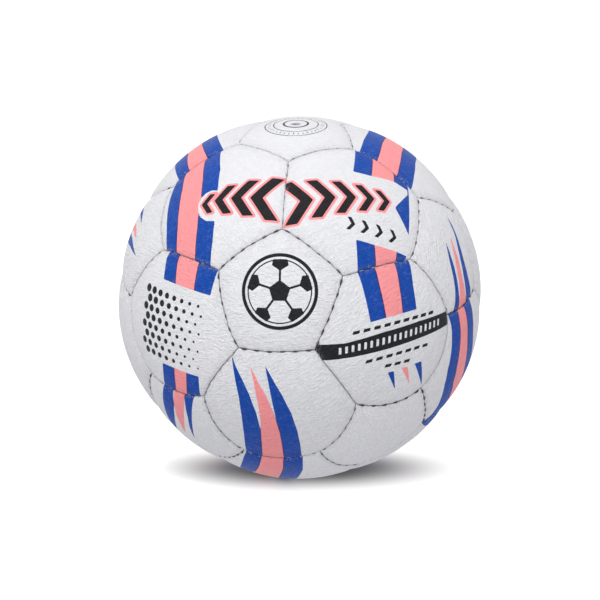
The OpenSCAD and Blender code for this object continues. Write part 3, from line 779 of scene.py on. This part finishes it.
def thread(s, sides=10):
    """One seam's twisted thread: it rises at every stitch and sinks between them."""
    per = 150
    t = np.linspace(0.02, 0.98, per)
    line, win = seam_line(s, t)
    off = jog(s, t, win)
    x = t * STITCHES
    k = np.clip(np.floor(x).astype(int), 0, STITCHES - 1)
    f = x - k - 0.5
    rise = np.exp(-(f * PITCH / (0.72 + 0.53 * s["show"])) ** 4)
    slant = np.clip(f / 0.3, -1, 1) * 0.26 * rise * s["lean"]
    kind_drop = CROWN
    r = (R - kind_drop - 0.30) - 1.58 + (0.55 + 0.48 * s["show"]) * rise * (0.8 + 0.2 * s["amp"][k])
    centre = unit(line + ((off * 0.6 - slant) / R)[:, None] * s["side"]) * r[:, None]
    tang = unit(np.gradient(centre, axis=0))
    upv = unit(centre - (centre * tang).sum(1)[:, None] * tang)
    sidev = np.cross(tang, upv)
    phi = np.arange(sides) / sides * 2 * math.pi
    dist = np.concatenate([[0], np.cumsum(np.linalg.norm(np.diff(centre, axis=0), axis=1))])
    turn = dist / 2.6 * 2 * math.pi
    rad = 0.33 * (1 + 0.16 * np.cos(2 * (phi[None] - turn[:, None]))) * np.minimum(1, 0.35 + (np.minimum(dist, dist[-1] - dist) / 0.4))[:, None]
    pts = (centre[:, None] + rad[..., None] * (np.cos(phi)[None, :, None] * sidev[:, None]
                                               + np.sin(phi)[None, :, None] * upv[:, None]))
    verts = pts.reshape(-1, 3)
    starts = np.arange(per) * sides
    quads = np.concatenate([ring_quads(starts[i + 1], starts[i], sides) for i in range(per - 1)])
    j = np.arange(sides)
    k2 = (j + 1) % sides
    verts = np.concatenate([verts, centre[:1], centre[-1:]])
    tris = [np.stack([j, k2, np.full(sides, len(verts) - 2)], 1)[:, ::-1],
            np.stack([starts[-1] + j, starts[-1] + k2, np.full(sides, len(verts) - 1)], 1)]
    tris = [f[:, ::-1] for f in tris]
    return verts, quads, tris


def lathe(name, profile, material, sides=96):
    """A closed profile of (radius, height) in mm, turned about the valve's axis."""
    x = unit(np.cross(VALVE, [1.0, 0.3, 0.1]))
    y = np.cross(VALVE, x)
    phi = np.arange(sides) / sides * 2 * math.pi
    ringv = np.cos(phi)[:, None] * x + np.sin(phi)[:, None] * y
    verts = np.concatenate([ringv * r + VALVE * z for r, z in profile])
    starts = np.arange(len(profile)) * sides
    quads = np.concatenate([ring_quads(starts[i], starts[(i + 1) % len(profile)], sides)
                            for i in range(len(profile))])
    return make_object(name, verts, [quads], material)


# ---------------------------------------------------------------- materials
class Tree:
    def __init__(self, name):
        self.mat = bpy.data.materials.new(name)
        self.mat.use_nodes = True
        self.nt = self.mat.node_tree
        self.nt.nodes.clear()
        self.out = self.nt.nodes.new("ShaderNodeOutputMaterial")
        self.bsdf = self.nt.nodes.new("ShaderNodeBsdfPrincipled")
        self.nt.links.new(self.bsdf.outputs[0], self.out.inputs[0])

    def put(self, socket, value):
        if isinstance(value, bpy.types.NodeSocket):
            self.nt.links.new(value, socket)
        elif value is not None:
            if hasattr(socket.default_value, "__len__") and not hasattr(value, "__len__"):
                value = [value] * len(socket.default_value)
            if hasattr(socket.default_value, "__len__") and len(socket.default_value) == 4 and len(value) == 3:
                value = tuple(value) + (1.0,)
            socket.default_value = value

    def node(self, kind, **settings):
        inputs = settings.pop("inputs", {})
        n = self.nt.nodes.new("ShaderNode" + kind)
        for key, value in settings.items():
            setattr(n, key, value)
        for key, value in inputs.items():
            self.put(n.inputs[key], value)
        return n

    def math(self, op, a, b=None, c=None, clamp=False):
        n = self.node("Math", operation=op, use_clamp=clamp)
        for i, v in enumerate((a, b, c)):
            if v is not None:
                self.put(n.inputs[i], v)
        return n.outputs[0]

    def ramp(self, value, lo, hi, a=0.0, b=1.0, smoothly=True):
        n = self.node("MapRange", interpolation_type="SMOOTHSTEP" if smoothly else "LINEAR", clamp=True)
        for i, v in enumerate((value, lo, hi, a, b)):
            self.put(n.inputs[i], v)
        return n.outputs[0]

    def mix(self, fac, a, b, blend="MIX"):
        n = self.node("Mix", data_type="RGBA", blend_type=blend, clamp_factor=True)
        self.put(n.inputs[0], fac)
        self.put(n.inputs[6], a)
        self.put(n.inputs[7], b)
        return n.outputs[2]

    def attr(self, name):
        return self.node("Attribute", attribute_type="GEOMETRY", attribute_name=name).outputs["Fac"]

    def coords(self, scale=1000.0):
        tc = self.node("TexCoord")
        n = self.node("VectorMath", operation="SCALE")
        self.put(n.inputs[0], tc.outputs["Object"])
        n.inputs["Scale"].default_value = scale
        return n.outputs[0]

    def noise(self, vec, scale, detail=2.0, rough=0.5, distortion=0.0):
        return self.node("TexNoise", inputs={"Vector": vec, "Scale": scale, "Detail": detail,
                                             "Roughness": rough, "Distortion": distortion}).outputs["Fac"]

    def warp(self, vec, scale, amount):
        n = self.node("TexNoise", inputs={"Vector": vec, "Scale": scale, "Detail": 1.0}).outputs["Color"]
        sub = self.node("VectorMath", operation="SUBTRACT")
        self.put(sub.inputs[0], n)
        sub.inputs[1].default_value = (0.5, 0.5, 0.5)
        mul = self.node("VectorMath", operation="MULTIPLY_ADD")
        self.put(mul.inputs[0], sub.outputs[0])
        mul.inputs[1].default_value = (amount,) * 3
        self.put(mul.inputs[2], vec)
        return mul.outputs[0]

    def bump(self, height, distance, strength=1.0, normal=None):
        n = self.node("Bump", inputs={"Strength": strength, "Distance": distance, "Height": height, "Normal": normal})
        return n.outputs[0]

    def set(self, **values):
        for key, value in values.items():
            self.put(self.bsdf.inputs[key.replace("_", " ")], value)


def srgb(r, g, b):
    return tuple((v / 255 / 12.92) if v <= 10.31 else ((v / 255 + 0.055) / 1.055) ** 2.4 for v in (r, g, b))


def leather():
    t = Tree("synthetic_leather")
    mm = t.node("Attribute", attribute_type="GEOMETRY", attribute_name="grain").outputs["Vector"]
    # pebbled grain, longer one way than the other, with a finer tooth in it
    longer = t.node("VectorMath", operation="MULTIPLY")
    t.put(longer.inputs[0], mm)
    longer.inputs[1].default_value = (0.55, 1.0, 1.0)
    warped = t.warp(t.warp(longer.outputs[0], 0.8, 1.0), 2.2, 0.35)
    cells = t.node("TexVoronoi", feature="DISTANCE_TO_EDGE", inputs={"Vector": warped, "Scale": 1.0}).outputs["Distance"]
    pebble = t.ramp(cells, 0.0, 0.34)
    tooth = t.noise(mm, 3.0, 3.0, 0.6)
    soft = t.noise(t.warp(longer.outputs[0], 0.5, 1.5), 0.62, 2.0, 0.5)
    # low wrinkles that run one way across the sheet
    across = t.node("VectorMath", operation="MULTIPLY")
    t.put(across.inputs[0], t.warp(mm, 0.3, 1.6))
    across.inputs[1].default_value = (0.32, 1.0, 1.0)
    wrinkle = t.ramp(t.noise(across.outputs[0], 0.95, 1.0, 0.45), 0.36, 0.64)
    seam, grime_and_shade_attr, inside = t.attr("seam_mm"), t.attr("grime"), t.attr("inside")
    # fine creases that run in from the seams
    crease_n = t.node("TexVoronoi", feature="DISTANCE_TO_EDGE", inputs={"Vector": t.warp(mm, 0.35, 3.0), "Scale": 0.42}).outputs["Distance"]
    crease = t.ramp(crease_n, 0.0, 0.10)
    near_seam = t.ramp(seam, 0.6, 6.0, 1.0, 0.0)
    crease_depth = t.math("MULTIPLY", t.math("SUBTRACT", 1.0, crease), near_seam)
    height = t.math("ADD", t.math("MULTIPLY", pebble, 0.7), t.math("MULTIPLY", tooth, 0.5))
    height = t.math("ADD", height, t.math("MULTIPLY", soft, 1.2))
    strong = t.math("MULTIPLY", wrinkle, t.attr("ripple"))
    relief = t.attr("relief")
    height = t.math("ADD", t.math("MULTIPLY", height, relief), t.math("MULTIPLY", strong, 0.7))
    height = t.math("SUBTRACT", height, t.math("MULTIPLY", crease_depth, 0.45))
    # ink: crisp outlines with a slight tooth from the grain
    rag = t.math("MULTIPLY", t.math("SUBTRACT", t.noise(mm, 2.4, 2.0, 0.6), 0.5), 0.16)

    def mask(name, soft_mm=0.05):
        return t.ramp(t.math("ADD", t.attr("ink_" + name), rag), -soft_mm, soft_mm)

    blue, coral, black = mask("blue"), mask("coral"), mask("black")
    trap = t.math("MULTIPLY", t.ramp(t.attr("ink_blue"), -0.34, -0.14), t.ramp(t.attr("ink_coral"), -0.34, -0.14))
    # ink is scuffed where the panel turns down into a seam
    scuff_n = t.noise(t.warp(mm, 0.8, 1.2), 1.5, 4.0, 0.65)
    scuff = t.math("MULTIPLY", t.ramp(scuff_n, 0.55, 0.64), t.ramp(seam, 0.3, 2.8, 0.95, 0.0))
    pores = t.math("MULTIPLY", t.ramp(pebble, 0.0, 0.22, 1.0, 0.0), t.ramp(t.noise(mm, 0.45, 2.0), 0.45, 0.7, 0.0, 0.07))
    worn = t.math("MAXIMUM", t.math("MULTIPLY", scuff, 0.5), pores)
    keep = t.math("SUBTRACT", 1.0, worn)
    white_var = t.noise(mm, 0.06, 3.0, 0.55)
    white = t.mix(white_var, srgb(236, 236, 240), srgb(242, 242, 244))
    # painted shade: the white is darkened in the hollows of the grain, of the soft swells and of the wrinkles, the
    # grain's and wrinkles' part less towards the top, and the white is mixed greyer towards the top of the ball
    white = t.mix(t.math("MULTIPLY", t.ramp(pebble, 0.0, 0.5, 0.3, 0.0), relief), white, srgb(196, 196, 202))
    white = t.mix(t.ramp(soft, 0.3, 0.7, 0.22, 0.0), white, srgb(206, 206, 210))
    white = t.mix(t.math("MULTIPLY", t.ramp(wrinkle, 0.0, 0.6, 0.15, 0.0), t.attr("ripple")), white, srgb(206, 206, 212))
    white = t.mix(t.ramp(relief, 0.48, 0.9, 0.28, 0.08), white, srgb(206, 206, 211))
    ink_var = t.noise(mm, 0.25, 3.0, 0.6)
    blue_c = t.mix(ink_var, srgb(10, 66, 160), srgb(20, 78, 174))
    coral_c = t.mix(ink_var, srgb(250, 148, 152), srgb(252, 160, 162))
    black_c = t.mix(ink_var, srgb(26, 27, 30), srgb(38, 39, 42))
    colour = t.mix(t.math("MULTIPLY", coral, keep), white, coral_c)
    colour = t.mix(t.math("MULTIPLY", blue, keep), colour, blue_c)
    colour = t.mix(t.math("MULTIPLY", trap, 0.9), colour, srgb(44, 30, 92))
    firm = t.math("SUBTRACT", 1.0, t.math("ADD", t.math("MULTIPLY", scuff, 0.6), t.math("MULTIPLY", pores, 0.25)))
    colour = t.mix(t.math("MULTIPLY", black, firm), colour, black_c)
    # grime and painted shade down in the seams, darkest where a seam lies in shade, and a faint grey darkening on the
    # shoulders within 2.6 mm of the seams
    seam_blotch = t.noise(mm, 0.8, 3.0, 0.6)
    groove_grime_and_shade = t.math("MULTIPLY", t.ramp(seam, 0.04, 0.26, 0.75, 0.0), t.ramp(seam_blotch, 0.2, 0.7, 0.65, 1.0))
    groove_grime_and_shade = t.math("MULTIPLY", groove_grime_and_shade, grime_and_shade_attr)
    halo = t.math("MULTIPLY", t.ramp(seam, 0.3, 2.6, 0.14, 0.0), t.ramp(seam_blotch, 0.35, 0.75))
    colour = t.mix(halo, colour, srgb(150, 150, 152))
    colour = t.mix(groove_grime_and_shade, colour, srgb(56, 56, 60))
    colour = t.mix(t.ramp(inside, 0.7, 0.9), colour, srgb(205, 200, 188))
    inked = t.math("MAXIMUM", t.math("MAXIMUM", blue, coral), black)
    rough = t.ramp(inked, 0.0, 1.0, 0.5, 0.42)
    rough = t.math("ADD", rough, t.math("MULTIPLY", t.math("SUBTRACT", tooth, 0.5), 0.16))
    t.set(Base_Color=colour, Roughness=rough, Normal=t.bump(height, 0.0003, 1.0), Specular_IOR_Level=0.12)
    return t.mat


def simple(name, dark, light, rough, scale, depth, weave=False, dull=None):
    t = Tree(name)
    mm = t.coords()
    n1 = t.noise(mm, scale, 4.0, 0.6)
    big = t.noise(mm, scale * 0.12, 3.0, 0.55)
    colour = t.mix(t.ramp(big, 0.3, 0.7), srgb(*dark), srgb(*light))
    height = n1
    if weave:
        w1 = t.node("TexWave", wave_type="BANDS", bands_direction="X", inputs={"Vector": mm, "Scale": 0.55, "Distortion": 0.6}).outputs["Fac"]
        w2 = t.node("TexWave", wave_type="BANDS", bands_direction="Z", inputs={"Vector": mm, "Scale": 0.55, "Distortion": 0.6}).outputs["Fac"]
        height = t.math("ADD", t.math("MULTIPLY", n1, 0.4), t.math("MAXIMUM", w1, w2))
        colour = t.mix(t.ramp(height, 0.5, 1.3), t.mix(0.5, colour, srgb(*dark)), colour)
    if dull:
        colour = t.mix(t.math("MULTIPLY", t.attr("dull"), 0.85), colour, srgb(*dull))
    r = t.ramp(n1, 0.2, 0.8, rough - 0.07, rough + 0.07)
    t.set(Base_Color=colour, Roughness=r, Normal=t.bump(height, depth, 0.8))
    return t.mat


LEATHER = leather()
CLOTH = simple("laminated_cloth", (176, 170, 156), (206, 201, 188), 0.9, 1.6, 0.00012, weave=True)
THREAD = simple("waxed_thread", (38, 39, 42), (72, 73, 76), 0.55, 4.0, 0.00008, dull=(176, 176, 180))
BUTYL = simple("bladder_rubber", (18, 18, 19), (30, 30, 32), 0.6, 1.2, 0.00006)
BOOT = simple("boot_rubber", (168, 168, 168), (190, 190, 189), 0.62, 2.4, 0.00005)
PLUG = simple("plug_rubber", (140, 140, 141), (162, 162, 162), 0.5, 2.8, 0.00004)

# ---------------------------------------------------------------- the pieces
for name, kind, n, ring in PANELS:
    row, per_seam = FINE.get(name, (1.0, 72))
    panel(name, kind, n, ring, LEATHER, row, per_seam, 2.3 if name == "pentagon_panel_01" else 0.0)

for kind, node in (("P", "pentagon_backings"), ("H", "hexagon_backings")):
    parts = [backing(kd, n, ring, hole=3.6 if nm == "pentagon_panel_01" else 0.0)
             for nm, kd, n, ring in PANELS if kd == kind]
    verts, faces = merge(parts)
    ob = make_object(node + "_cloth", verts, faces, CLOTH)
    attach(ob, "ball")
    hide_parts(node)

for kind, node in (("P", "pentagon_seam_stitching"), ("H", "hexagon_seam_stitching")):
    seams = [s for s in SEAMS.values() if s["kind"] == kind]
    parts = [thread(s) for s in seams]
    verts, faces = merge(parts)
    dull = np.concatenate([np.full(len(v), smooth(1.0 - s["show"], 0.3, 0.95)) for (v, _, _), s in zip(parts, seams)])
    ob = make_object(node + "_thread", verts, faces, THREAD, {"dull": dull})
    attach(ob, "ball")
    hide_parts(node)

for node, material in (("bladder", BUTYL), ("valve_patch", BUTYL), ("valve_boot", BOOT)):
    me = frame["nodes"][node].data
    for i in range(max(1, len(me.materials))):
        if len(me.materials):
            frame["nodes"][node].material_slots[i].material = material
        else:
            me.materials.append(material)

# the plug: a turned piece with rounded rims and a funnel that guides the needle
BLADDER_IN = CARCASS - 0.05 - 1.0
LOW = BLADDER_IN - 0.8 - 17 + 1
SEAT = R - SKIN - 0.2 - 1.5
TOP = R - 0.6
plug = lathe("valve_plug_rubber", [
    (1.0, LOW + 0.1), (1.0, TOP - 0.62), (1.06, TOP - 0.4), (1.25, TOP - 0.2), (1.5, TOP - 0.08), (1.7, TOP - 0.02),
    (1.86, TOP), (1.98, TOP - 0.03), (2.06, TOP - 0.1), (2.1, TOP - 0.22), (2.1, SEAT + 0.08), (2.05, SEAT + 0.03),
    (1.86, SEAT + 0.02), (1.8, SEAT - 0.04), (1.8, LOW + 0.5), (1.74, LOW + 0.2), (1.6, LOW + 0.04), (1.4, LOW),
    (1.1, LOW)], PLUG)
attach(plug, "plug")
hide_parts("valve_plug")

# ---------------------------------------------------------------- the setting
REST_Z = CAD_BOX[0][2]


def floor_with_painted_shadow():
    t = Tree("glowing_floor_with_painted_shadow")
    mm = t.coords()
    c = t.mix(t.noise(mm, 0.004, 2.0), srgb(122, 122, 123), srgb(125, 125, 125))
    # painted shadow: the floor glows outside a soft pool of shade just behind the ball, where the glow fades out; the
    # lamps add a real shadow inside the pool
    over = t.node("VectorMath", operation="SUBTRACT", inputs={0: mm, 1: (1.2, 13.0, 0.0)}).outputs[0]
    over = t.node("VectorMath", operation="MULTIPLY", inputs={0: over, 1: (1.0, 1.45, 0.0)}).outputs[0]
    painted_shadow_reach = t.node("VectorMath", operation="LENGTH", inputs={0: over}).outputs["Value"]
    t.set(Base_Color=c, Roughness=0.9, Emission_Color=(1.0, 1.0, 1.0), Emission_Strength=t.ramp(painted_shadow_reach, 25.0, 86.0, 0.0, 1.0))
    t.bsdf.inputs["Specular IOR Level"].default_value = 0.0
    return t.mat


fm = bpy.data.meshes.new("floor")
fm.from_pydata([(-60, -60, REST_Z), (60, -60, REST_Z), (60, 60, REST_Z), (-60, 60, REST_Z)], [], [(0, 1, 2, 3)])
fm.materials.append(floor_with_painted_shadow())
floor = bpy.data.objects.new("floor", fm)
bpy.context.scene.collection.objects.link(floor)
floor.visible_diffuse = False
floor.visible_glossy = False


def wall_material():
    t = Tree("paper_wall")
    mm = t.coords()
    c = t.mix(t.noise(mm, 0.004, 2.0), srgb(214, 214, 215), srgb(218, 218, 218))
    t.set(Base_Color=c, Roughness=0.9, Emission_Color=(1.0, 1.0, 1.0), Emission_Strength=1.0, Specular_IOR_Level=0.0)
    return t.mat


_ring = [(58 * math.cos(math.radians(i * 5)), 58 * math.sin(math.radians(i * 5))) for i in range(72)]
wm = bpy.data.meshes.new("wall")
wm.from_pydata([(x, y, REST_Z - 0.5) for x, y in _ring] + [(x, y, 60.0) for x, y in _ring], [],
               [(i, (i + 1) % 72, 72 + (i + 1) % 72, 72 + i) for i in range(72)])
wm.materials.append(wall_material())
wall = bpy.data.objects.new("wall", wm)
bpy.context.scene.collection.objects.link(wall)
wall.visible_diffuse = False
wall.visible_glossy = False
wall.visible_shadow = False


def area(name, loc, target, size, power, colour=(1, 1, 1)):
    li = bpy.data.lights.new(name, "AREA")
    li.shape = "RECTANGLE"
    li.size, li.size_y = size
    li.energy = power
    li.color = colour
    ob = bpy.data.objects.new(name, li)
    bpy.context.scene.collection.objects.link(ob)
    ob.location = loc
    ob.rotation_euler = (Vector(target) - Vector(loc)).to_track_quat("-Z", "Y").to_euler()
    return ob


area("softbox", (-0.45, -1.2, 1.8), (0, 0, 0), (0.8, 0.8), 17.0)
area("front", (-0.4, -2.4, 0.1), (0, 0, 0), (1.0, 0.8), 8.5)
# a ceiling panel that lights the floor alone, so that the paper stays white
ceiling = area("ceiling", (-0.3, -0.75, 1.6), (0, 0, 0), (1.0, 1.0), 20.0)
paper = bpy.data.collections.new("paper")
paper.objects.link(floor)
ceiling.light_linking.receiver_collection = paper
world = bpy.data.worlds.new("studio")
world.use_nodes = True
wt = world.node_tree
coord = wt.nodes.new("ShaderNodeTexCoord")
split = wt.nodes.new("ShaderNodeSeparateXYZ")
wt.links.new(coord.outputs["Generated"], split.inputs[0])
grade = wt.nodes.new("ShaderNodeMapRange")
grade.interpolation_type = "SMOOTHSTEP"
for slot_no, value in ((1, -0.40), (2, 0.0), (3, 0.69), (4, 0.83)):
    grade.inputs[slot_no].default_value = value
wt.links.new(split.outputs["Z"], grade.inputs[0])
tint = wt.nodes.new("ShaderNodeMix")
tint.data_type = "RGBA"
blend = wt.nodes.new("ShaderNodeMapRange")
for slot_no, value in ((1, -0.5), (2, 0.1), (3, 0.0), (4, 1.0)):
    blend.inputs[slot_no].default_value = value
wt.links.new(split.outputs["Z"], blend.inputs[0])
wt.links.new(blend.outputs[0], tint.inputs[0])
tint.inputs[6].default_value = (0.988, 0.99, 1.03, 1)
tint.inputs[7].default_value = (1.0, 1.0, 1.0, 1)
wt.links.new(tint.outputs[2], wt.nodes["Background"].inputs[0])
wt.links.new(grade.outputs[0], wt.nodes["Background"].inputs[1])
bpy.context.scene.world = world
bpy.context.scene.view_settings.view_transform = "Standard"

# ---------------------------------------------------------------- the camera
ELEV = math.radians(8.0)
SEEN = 86.95                    # the radius of the outline that the camera sees
DIST = 11.537 * SEEN * MM
cam = bpy.data.cameras.new("camera")
cam.sensor_fit = "HORIZONTAL"
cam.sensor_width = 36.0
F_PX = 181.0 * math.sqrt(11.537 ** 2 - 1)
cam.lens = F_PX / 600.0 * 36.0
cam.clip_start, cam.clip_end = 0.05, 60.0
cam_ob = bpy.data.objects.new("camera", cam)
bpy.context.scene.collection.objects.link(cam_ob)
eye = Vector((0, -math.cos(ELEV), math.sin(ELEV))) * DIST

# the ball's middle lies 0.2 px right of the picture's centre and 2.8 px above it
aim = Vector((0.1, 0, 0)) * (DIST / F_PX) + Vector((0, math.sin(ELEV), math.cos(ELEV))) * (-3.1 * DIST / F_PX)
cam_ob.location = eye
cam_ob.rotation_euler = (aim - eye).to_track_quat("-Z", "Y").to_euler()
bpy.context.scene.camera = cam_ob
